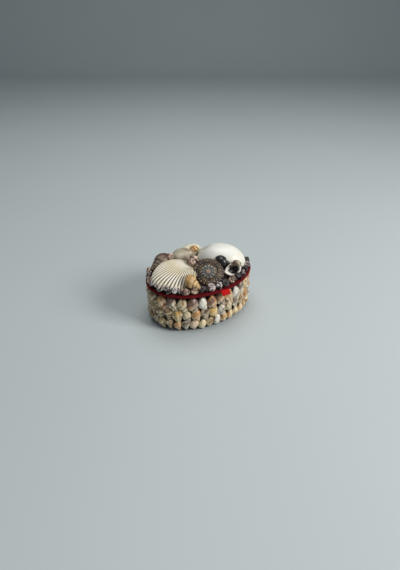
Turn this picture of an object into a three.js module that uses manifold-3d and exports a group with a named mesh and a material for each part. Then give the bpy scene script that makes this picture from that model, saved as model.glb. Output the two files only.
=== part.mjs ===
// An oval trinket box covered with sea shells, with a lift-off lid.
// Millimetres, +Z up. X is the length of the oval and -Y is the front, where the pull tab hangs.
// The origin is the middle of the flat underside.
import * as THREE from "three";
import { mergeVertices } from "three/addons/utils/BufferGeometryUtils.js";
import Module from "manifold-3d";

const wasm = await Module();
wasm.setup();

// Driving dimensions
const boxLength = 83; // outside of the card wall
const boxWidth = 56;
const boxHeight = 34.2;
const wallThickness = 2;
const floorThickness = 2;
const gap = 0.3; // between pieces that touch
const ovalSegments = 36;

const lidSeat = boxHeight + gap; // underside of the lid, above the ground
const lidThickness = 3.2;
const lidCrown = 4; // rise of the middle of the lid board
const crownShare = 0.78; // of the board, from its middle, that is crowned
const crownSides = 16;
const bandLength = 95; // outside of the cloth band round the lid
const bandWidth = 68.4;
const bandThickness = 2.4;

const tabWidth = 7.8;
const tabReach = 3.4;
const tabDrop = 3.6;
const tabThickness = 1;
const tabOffset = 3; // to the right of the middle of the front

// The rows of small whelks glued round the wall. Each lies between two heights.
// `middle` is the height of the shells' middles.
const shellStandOff = 2.7; // from the wall to the axis of a body shell
const bodyRows = [
  {
    name: "body_shells_top_row",
    count: 30,
    bottom: 22.9,
    top: 34.1,
    middle: 27.4,
    length: 13.8,
    depth: 8.2,
    slant: 24,
    phase: 0.75,
    outline: "pointed",
  },
  {
    name: "body_shells_middle_row",
    count: 32,
    bottom: 12.4,
    top: 22.6,
    middle: 17,
    length: 12.4,
    depth: 8,
    slant: 20,
    phase: 0.4,
    outline: "blunt",
  },
  {
    name: "body_shells_bottom_row",
    count: 36,
    bottom: 0.3,
    top: 12.1,
    middle: 6,
    length: 11.6,
    depth: 7.8,
    slant: 12,
    phase: 0.8,
    outline: "blunt",
  },
];
const sideOverlap = 1.19; // width of a body shell, in pitches of its row
const slantJitter = 10; // degrees, from end to end
const sizeJitter = 0.1;

// The ring of small dark snails on the edge of the lid
const rimRing = { count: 34, inset: 3.9, width: 8, length: 7.4, lift: 2.6 };

const degree = Math.PI / 180;

// A repeatable number from -0.5 to 0.5 for shell `index` and purpose `salt`.
function jitter(index, salt) {
  const wave = Math.sin(index * 12.9898 + salt * 78.233) * 43758.5453;
  return wave - Math.floor(wave) - 0.5;
}

function toSolid(geometry) {
  const bare = geometry.clone();
  bare.deleteAttribute("normal");
  bare.deleteAttribute("uv");
  const merged = mergeVertices(bare, 1e-4);
  return new wasm.Manifold(
    new wasm.Mesh({
      numProp: 3,
      vertProperties: new Float32Array(merged.attributes.position.array),
      triVerts: new Uint32Array(merged.index.array),
    }),
  );
}

function toGeometry(solid) {
  const mesh = solid.getMesh();
  const positions = new Float32Array(mesh.numVert * 3);
  for (let v = 0; v < mesh.numVert; v++) {
    const start = v * mesh.numProp;
    positions.set(mesh.vertProperties.subarray(start, start + 3), v * 3);
  }
  return new THREE.BufferGeometry()
    .setAttribute("position", new THREE.BufferAttribute(positions, 3))
    .setIndex(new THREE.BufferAttribute(mesh.triVerts, 1));
}

// The largest body of a solid, without slivers that a cut has left behind.
function mainBody(solid) {
  const bodies = solid.decompose();
  return bodies.reduce((best, body) =>
    body.volume() > best.volume() ? body : best,
  );
}

// A closed surface from a top pole, through rings of `sides` points, to a bottom pole.
// Points of a ring run anticlockwise as seen from the top pole.
function closedSurface(topPole, rings, bottomPole) {
  const sides = rings[0].length;
  const points = [topPole, ...rings.flat(), bottomPole];
  const last = points.length - 1;
  const at = (ring, side) => 1 + ring * sides + (side % sides);
  const faces = [];
  for (let side = 0; side < sides; side++) {
    faces.push(0, at(0, side), at(0, side + 1));
    for (let ring = 0; ring < rings.length - 1; ring++) {
      const corners = [
        at(ring, side),
        at(ring + 1, side),
        at(ring + 1, side + 1),
        at(ring, side + 1),
      ];
      faces.push(corners[0], corners[1], corners[2]);
      faces.push(corners[0], corners[2], corners[3]);
    }
    faces.push(last, at(rings.length - 1, side + 1), at(rings.length - 1, side));
  }
  const flat = points.flatMap((p) => [p.x, p.y, p.z]);
  return new THREE.BufferGeometry()
    .setAttribute("position", new THREE.Float32BufferAttribute(flat, 3))
    .setIndex(faces);
}

function ringOfPoints(sides, pointAt) {
  return Array.from({ length: sides }, (_, side) =>
    pointAt((side / sides) * 2 * Math.PI, side),
  );
}

// A snail lying along +Z, apex up, with its middle at the origin.
// Each station of the outline is [share of the length below the apex, share of the radius].
// `back` is how far behind its axis the shell is flat, and +Y is its front.
function snailGeometry({ length, width, depth, outline, sides, back = depth }) {
  const heightAt = (share) => length * (0.5 - share);
  const rings = outline.map(([share, radius]) =>
    ringOfPoints(
      sides,
      (angle) =>
        new THREE.Vector3(
          (width / 2) * radius * Math.cos(angle),
          Math.max((depth / 2) * radius * Math.sin(angle), -back),
          heightAt(share),
        ),
    ),
  );
  return closedSurface(
    new THREE.Vector3(0, 0, heightAt(0)),
    rings,
    new THREE.Vector3(0, 0, heightAt(1)),
  );
}

const bodyOutlines = {
  pointed: [
    [0.16, 0.52],
    [0.48, 0.96],
    [0.8, 1],
  ],
  blunt: [
    [0.26, 0.78],
    [0.76, 1],
  ],
};
const rimOutline = [
  [0.4, 0.84],
  [0.8, 1],
];
const whelkOutline = [
  [0.18, 0.34],
  [0.22, 0.3],
  [0.37, 0.6],
  [0.42, 0.54],
  [0.6, 1],
  [0.78, 0.84],
  [0.93, 0.38],
];
const spireOutline = [
  [0.15, 0.34],
  [0.32, 0.64],
  [0.36, 0.59],
  [0.56, 0.94],
  [0.6, 0.88],
  [0.78, 1],
  [0.93, 0.62],
];
const roundOutline = [
  [0.24, 0.52],
  [0.31, 0.5],
  [0.52, 0.96],
  [0.7, 1],
  [0.89, 0.64],
];

// A frame whose Z is the given apex direction and whose Y leans towards `outward`.
function frameOf(position, apexDirection, outward) {
  const zAxis = apexDirection.clone().normalize();
  const xAxis = outward.clone().cross(zAxis).normalize();
  const yAxis = zAxis.clone().cross(xAxis);
  return new THREE.Matrix4()
    .makeBasis(xAxis, yAxis, zAxis)
    .setPosition(position);
}

// Places at equal distances along an oval: point, tangent and outward normal.
function placesOnOval(length, width, count, phase) {
  const oval = new THREE.EllipseCurve(0, 0, length / 2, width / 2);
  return Array.from({ length: count }, (_, index) => {
    const share = ((index + phase) / count) % 1;
    const point = oval.getPointAt(share);
    const tangent = oval.getTangentAt(share);
    return {
      index,
      point: new THREE.Vector3(point.x, point.y, 0),
      tangent: new THREE.Vector3(tangent.x, tangent.y, 0),
      normal: new THREE.Vector3(tangent.y, -tangent.x, 0),
    };
  });
}

function ovalPerimeter(length, width) {
  return new THREE.EllipseCurve(0, 0, length / 2, width / 2).getLength();
}

function ovalPrism(length, width, bottom, height) {
  const shape = new THREE.Shape();
  shape.absellipse(0, 0, length / 2, width / 2, 0, 2 * Math.PI);
  const geometry = new THREE.ExtrudeGeometry(shape, {
    depth: height,
    bevelEnabled: false,
    curveSegments: ovalSegments / 2,
  });
  geometry.translate(0, 0, bottom);
  return toSolid(geometry);
}

// Flattens a shell where it would pass below or above two heights.
function keptBetween(geometry, bottom, top) {
  const points = geometry.attributes.position;
  for (let i = 0; i < points.count; i++) {
    points.setZ(i, THREE.MathUtils.clamp(points.getZ(i), bottom, top));
  }
  return geometry;
}

// The card box: an oval tub with a floor.
function makeBoxBody() {
  const outside = ovalPrism(boxLength, boxWidth, 0, boxHeight);
  const inside = ovalPrism(
    boxLength - 2 * wallThickness,
    boxWidth - 2 * wallThickness,
    floorThickness,
    boxHeight,
  );
  return outside.subtract(inside);
}

// One row of whelks round the wall, apex down and leaning to the right as seen from outside.
// The shells touch side by side, so the row is one ring. It is kept between its two heights.
function makeBodyRow(row) {
  const length = boxLength + 2 * shellStandOff;
  const width = boxWidth + 2 * shellStandOff;
  const pitch = ovalPerimeter(length, width) / row.count;
  const up = new THREE.Vector3(0, 0, 1);
  const shells = placesOnOval(length, width, row.count, row.phase).map((place) => {
    const size = 1 + sizeJitter * jitter(place.index, row.top);
    const slant = row.slant + slantJitter * jitter(place.index, row.slant);
    const apexDirection = place.tangent
      .clone()
      .multiplyScalar(Math.sin(slant * degree))
      .addScaledVector(up, -Math.cos(slant * degree));
    const shell = snailGeometry({
      length: row.length * size,
      width: pitch * sideOverlap,
      depth: row.depth * size,
      back: shellStandOff - gap,
      outline: bodyOutlines[row.outline],
      sides: 5,
    });
    const position = place.point.clone().setZ(row.middle);
    shell.applyMatrix4(frameOf(position, apexDirection, place.normal));
    return toSolid(keptBetween(shell, row.bottom, row.top));
  });
  return shells.reduce((all, shell) => all.add(shell));
}

// The lid's pieces below are in the lid's own frame: Z is 0 at its underside.

// The oval lid board: a flat margin that the rim shells stand on, and a crowned middle.
// `grow` swells it.
function makeLidBoard(grow = 0) {
  const halfLength = bandLength / 2 - bandThickness - gap + grow;
  const halfWidth = bandWidth / 2 - bandThickness - gap + grow;
  const ovalRing = (share, height, sides) =>
    ringOfPoints(
      sides,
      (angle) =>
        new THREE.Vector3(
          halfLength * share * Math.cos(angle),
          halfWidth * share * Math.sin(angle),
          height,
        ),
    );
  const board = closedSurface(
    new THREE.Vector3(0, 0, lidThickness + grow),
    [ovalRing(1, lidThickness + grow, ovalSegments), ovalRing(1, -grow, ovalSegments)],
    new THREE.Vector3(0, 0, -grow),
  );
  const crown = closedSurface(
    new THREE.Vector3(0, 0, lidThickness + lidCrown + grow),
    [
      ovalRing(crownShare * 0.6, lidThickness + lidCrown * 0.75 + grow, crownSides),
      ovalRing(crownShare, lidThickness / 2, crownSides),
    ],
    new THREE.Vector3(0, 0, lidThickness / 2),
  );
  return toSolid(board).add(toSolid(crown));
}

// The padded cloth band round the edge of the lid board, an oval ring with a rounded section.
function makeLidBand(grow = 0) {
  const sectionSides = 5;
  const places = placesOnOval(
    bandLength - bandThickness,
    bandWidth - bandThickness,
    ovalSegments,
    0,
  );
  const points = places.flatMap(({ point, normal }) =>
    Array.from({ length: sectionSides }, (_, corner) => {
      const angle = ((corner + 0.5) / sectionSides) * 2 * Math.PI;
      const reach = (bandThickness / 2 + grow) * Math.cos(angle);
      const height = lidThickness / 2 + (lidThickness / 2 + grow) * Math.sin(angle);
      return point.clone().addScaledVector(normal, reach).setZ(height);
    }),
  );
  const at = (place, corner) =>
    (place % ovalSegments) * sectionSides + (corner % sectionSides);
  const faces = [];
  for (let place = 0; place < ovalSegments; place++) {
    for (let corner = 0; corner < sectionSides; corner++) {
      const a = at(place, corner);
      const b = at(place + 1, corner);
      const c = at(place + 1, corner + 1);
      const d = at(place, corner + 1);
      faces.push(a, b, c, a, c, d);
    }
  }
  const flat = points.flatMap((p) => [p.x, p.y, p.z]);
  return toSolid(
    new THREE.BufferGeometry()
      .setAttribute("position", new THREE.Float32BufferAttribute(flat, 3))
      .setIndex(faces),
  );
}

// The satin pull tab: a folded ribbon that leaves the front of the band and droops.
function makePullTab() {
  const start = { y: -bandWidth / 2 - gap + 0.1, z: lidThickness * 0.72 };
  const bend = new THREE.CatmullRomCurve3([
    new THREE.Vector3(0, start.y, start.z),
    new THREE.Vector3(0, start.y - tabReach * 0.42, start.z - tabDrop * 0.1),
    new THREE.Vector3(0, start.y - tabReach * 0.8, start.z - tabDrop * 0.45),
    new THREE.Vector3(0, start.y - tabReach, start.z - tabDrop),
  ]);
  const steps = 6;
  const side = (offset) =>
    Array.from({ length: steps + 1 }, (_, step) => {
      const middle = bend.getPointAt(step / steps);
      const along = bend.getTangentAt(step / steps);
      return new THREE.Vector2(middle.y + along.z * offset, middle.z - along.y * offset);
    });
  const outline = [...side(tabThickness / 2), ...side(-tabThickness / 2).reverse()];
  const geometry = new THREE.ExtrudeGeometry(new THREE.Shape(outline), {
    depth: tabWidth,
    bevelEnabled: false,
  });
  // The outline is drawn in Y and Z, and the width runs along X.
  const yzPlane = new THREE.Matrix4().makeBasis(
    new THREE.Vector3(0, 1, 0),
    new THREE.Vector3(0, 0, 1),
    new THREE.Vector3(1, 0, 0),
  );
  geometry.applyMatrix4(yzPlane);
  geometry.translate(tabOffset - tabWidth / 2, 0, 0);
  return toSolid(geometry).subtract(makeLidBand(gap));
}

// The ring of small snails on the edge of the lid, each leaning outwards.
// It is flat below, and cut by the shells that lie on it.
function makeRimRing(shellsAbove) {
  const length = bandLength - 2 * rimRing.inset;
  const width = bandWidth - 2 * rimRing.inset;
  const up = new THREE.Vector3(0, 0, 1);
  const shells = placesOnOval(length, width, rimRing.count, 0.5).map((place) => {
    const apexDirection = place.normal
      .clone()
      .multiplyScalar(0.5)
      .addScaledVector(up, 0.75)
      .addScaledVector(place.tangent, 0.6 * jitter(place.index, 5));
    const size = 1 + sizeJitter * jitter(place.index, 6);
    const shell = snailGeometry({
      length: rimRing.length * size,
      width: rimRing.width,
      depth: rimRing.width * size,
      outline: rimOutline,
      sides: 6,
    });
    const position = place.point.clone().setZ(lidThickness + rimRing.lift);
    shell.applyMatrix4(frameOf(position, apexDirection, place.normal));
    return toSolid(keptBetween(shell, lidThickness + gap, bandLength));
  });
  const joined = shells.reduce((all, shell) => all.add(shell));
  return mainBody(shellsAbove.reduce((rest, shell) => rest.subtract(shell), joined));
}

// One valve of a bivalve, hollow side down, with its rim in the XY plane and the umbo towards +X.
// `length` runs from the umbo to the far margin. Ribs fan out from the umbo, one for every
// second side, and only their crests are kept when `grow` swells the valve.
function valveGeometry({ length, width, rise, beak, ribDepth, sides, shares }, grow) {
  const flare = 2 * grow;
  const umbo = new THREE.Vector2(length * (0.5 - beak), 0);
  const marginAt = (angle) =>
    new THREE.Vector2(
      ((length + flare) / 2) * Math.cos(angle),
      ((width + flare) / 2) * Math.sin(angle) * (1 - 0.1 * Math.cos(angle)),
    );
  const domeAt = ({ x, y }) => {
    const outwards = Math.hypot(x / (length / 2), y / (width / 2));
    return rise * Math.pow(Math.max(1 - Math.pow(outwards, 2.4), 0), 0.6);
  };
  const ringAt = (share) =>
    ringOfPoints(grow && ribDepth ? sides / 2 : sides, (angle, side) => {
      const rib = (side % 2 && !grow ? -1 : 1) * ribDepth * share;
      const reach = share * (1 + (2 * rib) / length);
      const place = umbo.clone().lerp(marginAt(angle), reach);
      const height = Math.max(domeAt(place) + rib, 0.8) + grow;
      return new THREE.Vector3(place.x, place.y, height);
    });
  const floorRing = ringAt(1).map((p) => p.clone().setZ(-grow));
  return closedSurface(
    new THREE.Vector3(umbo.x, umbo.y, domeAt(umbo) + grow),
    [...shares.map(ringAt), floorRing],
    new THREE.Vector3(0, 0, -grow),
  );
}

// A low round snail seen from its apex, with rows of beads along its whorls.
function beadedGeometry({ diameter, rise, base, sides }, grow) {
  const shares = [0.16, 0.36, 0.58, 0.8, 1];
  const beadDepth = 0.6;
  const rings = shares.map((share, ring) =>
    ringOfPoints(sides, (angle, side) => {
      const sunk = (side + ring) % 2 && !grow;
      const bead = (sunk ? -1 : 1) * beadDepth * Math.min(1, share * 1.6);
      const radius = (diameter / 2 + grow) * share + bead * 0.5;
      const height =
        rise * Math.sqrt(1 - 0.97 * share * share) + bead * (1 - share * 0.6) + grow;
      return new THREE.Vector3(radius * Math.cos(angle), radius * Math.sin(angle), height);
    }),
  );
  const foot = ringOfPoints(
    sides,
    (angle) =>
      new THREE.Vector3(
        (0.4 * diameter + grow) * Math.cos(angle),
        (0.4 * diameter + grow) * Math.sin(angle),
        -base - grow,
      ),
  );
  return closedSurface(
    new THREE.Vector3(0, 0, rise + beadDepth + grow),
    [...rings, foot],
    new THREE.Vector3(0, 0, -base - grow),
  );
}

// Each of these makes a lid shell, swollen by `grow` where it is to cut another piece.
function snailSolid(size, grow) {
  const { length, width, depth } = size;
  const swollen = {
    length: length + 3 * grow,
    width: width + 2.4 * grow,
    depth: depth + 2.4 * grow,
  };
  return toSolid(snailGeometry({ ...size, ...swollen }));
}

// A round snail with its mouth open towards +Y.
function openSnailSolid(size, grow) {
  const body = snailSolid(size, grow);
  if (grow) return body;
  const mouth = new THREE.SphereGeometry(1, 10, 6);
  mouth.scale(size.width * 0.27, size.depth * 0.34, size.length * 0.25);
  mouth.translate(0, size.depth * 0.45, -size.length * 0.14);
  return body.subtract(toSolid(mouth));
}

function valveSolid(size, grow) {
  return toSolid(valveGeometry(size, grow));
}

function beadedSolid(size, grow) {
  return toSolid(beadedGeometry(size, grow));
}

// The shells on the lid. `at` is the place of the shell's middle in the lid's frame.
// `apex` is where a snail's apex points, or a valve's top, and `face` turns the shell about it.
const smoothValve = { ribDepth: 0, sides: 16, shares: [0.3, 0.6, 0.85, 1] };
const lidShells = [
  {
    name: "yellow_whelk",
    at: [-19.6, -23.6, 10.6],
    apex: [0.42, -0.86, -0.3],
    face: [-0.3, -0.3, 1],
    make: snailSolid,
    size: { length: 18, width: 11, depth: 10.4, outline: whelkOutline, sides: 8 },
  },
  {
    name: "patterned_snail_middle",
    at: [-6, 1, 13.4],
    apex: [-0.66, -0.5, 0.56],
    face: [0, 0, 1],
    make: snailSolid,
    size: { length: 11.5, width: 9.6, depth: 9.6, outline: roundOutline, sides: 8 },
  },
  {
    name: "black_snail",
    at: [15.6, -9.8, 12],
    apex: [-0.6, 0.4, 0.6],
    face: [0, 0, 1],
    make: snailSolid,
    size: { length: 12.5, width: 11.6, depth: 10, outline: roundOutline, sides: 8 },
  },
  {
    name: "open_mouthed_snail",
    at: [20.2, -20.8, 8.8],
    apex: [0.7, 0.6, 0.3],
    face: [-0.5, -0.66, 0.6],
    make: openSnailSolid,
    size: { length: 15.5, width: 14.5, depth: 12.5, outline: roundOutline, sides: 10 },
  },
  {
    name: "beaded_top_shell",
    at: [-1, -16, 9],
    apex: [-0.24, -0.42, 0.88],
    face: [1, 0, 0],
    make: beadedSolid,
    size: { diameter: 25.6, rise: 6, base: 6, sides: 22 },
  },
  {
    name: "ribbed_cockle",
    at: [-25.2, -2, 7.9],
    apex: [-0.1, -0.13, 0.97],
    face: [0.1, 1, 0],
    make: valveSolid,
    size: {
      length: 38.5,
      width: 35,
      rise: 8,
      beak: 0.08,
      ribDepth: 0.5,
      sides: 40,
      shares: [0.3, 0.66, 1],
    },
  },
  {
    name: "white_clam",
    at: [22, 0.8, 5.4],
    apex: [0.02, 0.02, 1],
    face: [-0.68, -0.73, 0],
    make: valveSolid,
    size: { ...smoothValve, length: 43, width: 31, rise: 15, beak: 0.12 },
  },
  {
    name: "tan_snail",
    at: [5.6, 17.6, 12.6],
    apex: [-0.2, 0.5, 0.7],
    face: [1, 0, 0],
    make: snailSolid,
    size: { length: 11, width: 9, depth: 9, outline: roundOutline, sides: 8 },
  },
  {
    name: "grey_clam",
    at: [-6, 18.4, 6.6],
    apex: [-0.1, 0.02, 1],
    face: [0.3, 1, 0],
    make: valveSolid,
    size: { ...smoothValve, length: 21, width: 19, rise: 8, beak: 0.14 },
  },
  {
    name: "patterned_snail_left",
    at: [-16.6, 20.4, 9.6],
    apex: [-0.3, -0.6, 0.6],
    face: [1, 0, 0],
    make: snailSolid,
    size: { length: 9.5, width: 8.4, depth: 8.4, outline: roundOutline, sides: 8 },
  },
  {
    name: "brown_spire",
    at: [-27.4, 20.6, 9],
    apex: [-0.93, -0.34, -0.14],
    face: [0, 0, 1],
    make: snailSolid,
    size: { length: 24, width: 11.4, depth: 11.4, outline: spireOutline, sides: 8 },
  },
  {
    name: "pale_clam_rear",
    at: [8, 23, 7.4],
    apex: [-0.02, 0.06, 1],
    face: [1, 0.16, 0],
    make: valveSolid,
    size: { ...smoothValve, length: 15, width: 26, rise: 7.4, beak: 0.14 },
  },
];

// The lid shells in place, each cut by the lid board and by the shells listed before it,
// and a swollen copy of each, which cuts what it lies on.
function makeLidShells() {
  const board = makeLidBoard(gap);
  const placed = lidShells.map(({ name, at, apex, face, make, size }) => {
    const { elements } = frameOf(
      new THREE.Vector3(...at),
      new THREE.Vector3(...apex),
      new THREE.Vector3(...face),
    );
    const whole = make(size, 0).transform(elements);
    return { name, whole, cutter: make(size, gap).transform(elements) };
  });
  return placed.map(({ name, whole, cutter }, index) => {
    const before = placed.slice(0, index).map((shell) => shell.cutter);
    const solid = [board, ...before].reduce((rest, other) => rest.subtract(other), whole);
    return { name, solid: mainBody(solid), cutter };
  });
}

// Colours and finishes, one for each kind of piece
const finishes = {
  card: { color: 0x6b1016, roughness: 0.95 },
  cloth: { color: 0x5c0a10, roughness: 0.95 },
  satin: { color: 0xb80d10, roughness: 0.35 },
  bodyShell: { color: 0xc9b18a, roughness: 0.5 },
  rimShell: { color: 0x6f625f, roughness: 0.45 },
};
const lidShellColours = {
  yellow_whelk: 0xdcb878,
  patterned_snail_middle: 0x9c8074,
  black_snail: 0x15171a,
  open_mouthed_snail: 0xa8937c,
  beaded_top_shell: 0x574a38,
  ribbed_cockle: 0xe6dfc0,
  white_clam: 0xebe9df,
  tan_snail: 0xc79a5c,
  grey_clam: 0xbcb4a2,
  patterned_snail_left: 0xb29a8e,
  brown_spire: 0x7c6552,
  pale_clam_rear: 0xd6d1c0,
};

function addPiece(group, name, solid, finish) {
  const material = new THREE.MeshStandardMaterial({ ...finish, metalness: 0 });
  const mesh = new THREE.Mesh(toGeometry(solid), material);
  mesh.name = name;
  group.add(mesh);
}

const box = new THREE.Group();
addPiece(box, "box_body", makeBoxBody(), finishes.card);
for (const row of bodyRows) {
  addPiece(box, row.name, makeBodyRow(row), finishes.bodyShell);
}

const lid = new THREE.Group();
lid.position.z = lidSeat;
addPiece(lid, "lid_board", makeLidBoard(), finishes.card);
addPiece(lid, "lid_edge_band", makeLidBand(), finishes.cloth);
addPiece(lid, "pull_tab", makePullTab(), finishes.satin);
const shellsOnLid = makeLidShells();
const cutters = shellsOnLid.map((shell) => shell.cutter);
addPiece(lid, "lid_rim_shells", makeRimRing(cutters), finishes.rimShell);
for (const { name, solid } of shellsOnLid) {
  addPiece(lid, name, solid, { color: lidShellColours[name], roughness: 0.45 });
}

const shellBox = new THREE.Group();
shellBox.name = "shell_box";
shellBox.add(box, lid);

export default shellBox;
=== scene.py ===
# A shell-covered trinket box on a pale table, dressed round its CAD frame.
# Metres, +Z up, -Y is the front of the box, where the pull tab hangs.
import math

import bpy
from mathutils import Matrix, Vector


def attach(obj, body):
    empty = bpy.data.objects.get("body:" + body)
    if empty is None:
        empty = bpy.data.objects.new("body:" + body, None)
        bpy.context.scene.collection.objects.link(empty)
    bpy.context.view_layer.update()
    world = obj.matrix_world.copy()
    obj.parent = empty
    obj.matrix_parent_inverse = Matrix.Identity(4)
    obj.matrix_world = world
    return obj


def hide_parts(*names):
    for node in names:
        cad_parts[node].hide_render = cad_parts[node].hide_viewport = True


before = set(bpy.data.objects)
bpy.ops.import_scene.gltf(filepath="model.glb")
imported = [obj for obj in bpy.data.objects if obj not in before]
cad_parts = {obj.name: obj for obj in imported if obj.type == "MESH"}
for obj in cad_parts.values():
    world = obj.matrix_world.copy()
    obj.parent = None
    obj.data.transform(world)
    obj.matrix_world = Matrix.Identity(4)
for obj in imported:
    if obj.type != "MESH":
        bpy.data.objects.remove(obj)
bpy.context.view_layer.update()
mm = 0.001


# Small helpers
def jitter(index, salt):
    # a repeatable number from -0.5 to 0.5, the same one that the CAD uses
    wave = math.sin(index * 12.9898 + salt * 78.233) * 43758.5453
    return wave - math.floor(wave) - 0.5


def deselectAll():
    if bpy.context.mode != "OBJECT":
        bpy.ops.object.mode_set(mode="OBJECT")
    bpy.ops.object.select_all(action="DESELECT")


def makeActive(obj):
    deselectAll()
    obj.select_set(True)
    bpy.context.view_layer.objects.active = obj


def editAll():
    bpy.ops.object.mode_set(mode="EDIT")
    bpy.ops.mesh.select_mode(type="EDGE")
    bpy.ops.mesh.select_all(action="SELECT")


def closeEnd():
    # draws the last ring of edges together in one point
    bpy.ops.mesh.extrude_edges_move()
    bpy.ops.mesh.merge(type="CENTER")
    bpy.ops.object.mode_set(mode="OBJECT")


def applyModifier(obj, name, kind, **settings):
    modifier = obj.modifiers.new(name, kind)
    for key, value in settings.items():
        setattr(modifier, key, value)
    bpy.ops.object.modifier_apply(modifier=name)


def nameBoth(obj, name):
    obj.name = name
    obj.data.name = name


def frameOf(position, apexDirection, outward):
    # Z is the apex direction and Y leans towards outward
    zAxis = Vector(apexDirection).normalized()
    xAxis = Vector(outward).cross(zAxis).normalized()
    yAxis = zAxis.cross(xAxis)
    turn = Matrix((xAxis, yAxis, zAxis)).transposed().to_4x4()
    return Matrix.Translation(position) @ turn


def sizeMatrix(x, y, z):
    return Matrix.Diagonal((x, y, z, 1))


def ovalPlaces(length, width, count, phase):
    # places at equal distances round an oval: point, tangent and outward normal
    fine = 1440
    points = [
        Vector((length / 2 * math.cos(math.tau * i / fine), width / 2 * math.sin(math.tau * i / fine), 0))
        for i in range(fine + 1)
    ]
    reached = [0.0]
    for before, after in zip(points, points[1:]):
        reached.append(reached[-1] + (after - before).length)
    places = []
    for index in range(count):
        wanted = (((index + phase) / count) % 1) * reached[-1]
        at = max(i for i in range(fine) if reached[i] <= wanted)
        part = (wanted - reached[at]) / (reached[at + 1] - reached[at])
        tangent = (points[at + 1] - points[at]).normalized()
        places.append((index, points[at].lerp(points[at + 1], part), tangent,
                       Vector((tangent.y, -tangent.x, 0))))
    return places, reached[-1] / count


def smoothAndClose(obj, angle=None):
    # faces outwards and smooth, with a crease only above the angle
    makeActive(obj)
    bpy.ops.object.mode_set(mode="EDIT")
    bpy.ops.mesh.select_all(action="SELECT")
    bpy.ops.mesh.normals_make_consistent(inside=False)
    bpy.ops.object.mode_set(mode="OBJECT")
    if angle is None:
        bpy.ops.object.shade_smooth()
    else:
        bpy.ops.object.shade_smooth_by_angle(angle=math.radians(angle))


def setPointValues(mesh, name, values):
    layer = mesh.attributes.get(name) or mesh.attributes.new(name, "FLOAT", "POINT")
    layer.data.foreach_set("value", values)


def setPointColour(mesh, name, colour):
    layer = mesh.attributes.get(name) or mesh.attributes.new(name, "FLOAT_COLOR", "POINT")
    layer.data.foreach_set("color", [c for _ in mesh.vertices for c in (*colour[:3], 1.0)])


def setTones(mesh, pair, own):
    setPointColour(mesh, "mainTone", pair[0])
    setPointColour(mesh, "secondTone", pair[1])
    setPointValues(mesh, "own", [own] * len(mesh.vertices))


def copyPlaced(model, matrix, name):
    # a copy with its own mesh, its place kept in the mesh
    deselectAll()
    mesh = model.data.copy()
    mesh.transform(matrix)
    copy = bpy.data.objects.new(name, mesh)
    bpy.context.collection.objects.link(copy)
    return copy


def joinAll(objects, name):
    deselectAll()
    for obj in objects:
        obj.select_set(True)
    bpy.context.view_layer.objects.active = objects[0]
    if len(objects) > 1:
        bpy.ops.object.join()
    piece = bpy.context.view_layer.objects.active
    nameBoth(piece, name)
    return piece


def removeModels(models):
    for model in models:
        bpy.data.objects.remove(model, do_unlink=True)


def bump(position, sharpness=1.0):
    # a row of rounded bumps, one for each whole number, from 0 to 1
    return (0.5 + 0.5 * math.cos(math.tau * position)) ** sharpness


# Painting materials
def paint(red, green, blue):
    # a colour as a painter's chart gives it, 0 to 255, made linear
    return tuple((c / 255 / 12.92) if c <= 10 else ((c / 255 + 0.055) / 1.055) ** 2.4 for c in (red, green,
                                                                                                blue))


def addNode(tree, kind, inputs=None, **settings):
    node = tree.nodes.new(kind)
    for key, value in settings.items():
        setattr(node, key, value)
    for key, value in (inputs or {}).items():
        if isinstance(value, bpy.types.NodeSocket):
            tree.links.new(value, node.inputs[key])
        else:
            node.inputs[key].default_value = value
    return node


def newMaterial(name, **sockets):
    # constants go straight on the shader's own sockets
    material = bpy.data.materials.new(name)
    material.use_nodes = True
    shader = material.node_tree.nodes["Principled BSDF"]
    for key, value in sockets.items():
        shader.inputs[key.replace("_", " ")].default_value = value
    return material, material.node_tree, shader


def readPoint(tree, name, output="Fac"):
    return addNode(tree, "ShaderNodeAttribute", attribute_name=name,
                   attribute_type="GEOMETRY").outputs[output]


def place(tree):
    return addNode(tree, "ShaderNodeTexCoord").outputs["Object"]


def noise(tree, vector, scale, detail=3.0, roughness=0.5):
    return addNode(
        tree, "ShaderNodeTexNoise", {"Vector": vector, "Scale": scale, "Detail": detail,
                                     "Roughness": roughness}
    ).outputs["Fac"]


def sums(tree, operation, a, b=0.0, c=None):
    node = addNode(tree, "ShaderNodeMath", {0: a, 1: b}, operation=operation)
    if c is not None:
        node.inputs[2].default_value = c
    return node.outputs[0]


def spread(tree, value, low, high, toLow=0.0, toHigh=1.0):
    return addNode(
        tree, "ShaderNodeMapRange",
        {"Value": value, "From Min": low, "From Max": high, "To Min": toLow, "To Max": toHigh},
    ).outputs["Result"]


def mixed(tree, share, a, b, blend="MIX"):
    node = addNode(tree, "ShaderNodeMix", {0: share}, data_type="RGBA", blend_type=blend)
    for index, value in ((6, a), (7, b)):
        if isinstance(value, bpy.types.NodeSocket):
            tree.links.new(value, node.inputs[index])
        else:
            node.inputs[index].default_value = (*value[:3], 1)
    return node.outputs[2]


def times(tree, a, b):
    return sums(tree, "MULTIPLY", a, b)


def plus(tree, a, b):
    return sums(tree, "ADD", a, b)


def distanceFrom(tree, value, middle):
    return sums(tree, "ABSOLUTE", sums(tree, "SUBTRACT", value, middle))


def tint(tree, colour, other, share, amount):
    # another colour laid over this one, in a share of the given amount
    return mixed(tree, times(tree, share, amount), colour, other)


def threeWay(tree, x, y, z):
    return addNode(tree, "ShaderNodeCombineXYZ", {0: x, 1: y, 2: z}).outputs[0]


def ovalReach(tree, position, halves):
    # 1 on an oval about the middle, less inside it and more outside
    split = addNode(tree, "ShaderNodeSeparateXYZ", {0: position})
    parts = [sums(tree, "POWER", sums(tree, "ABSOLUTE", sums(tree, "DIVIDE", split.outputs[axis], half)), 2)
             for axis, half in enumerate(halves)]
    return plus(tree, *parts)


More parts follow.
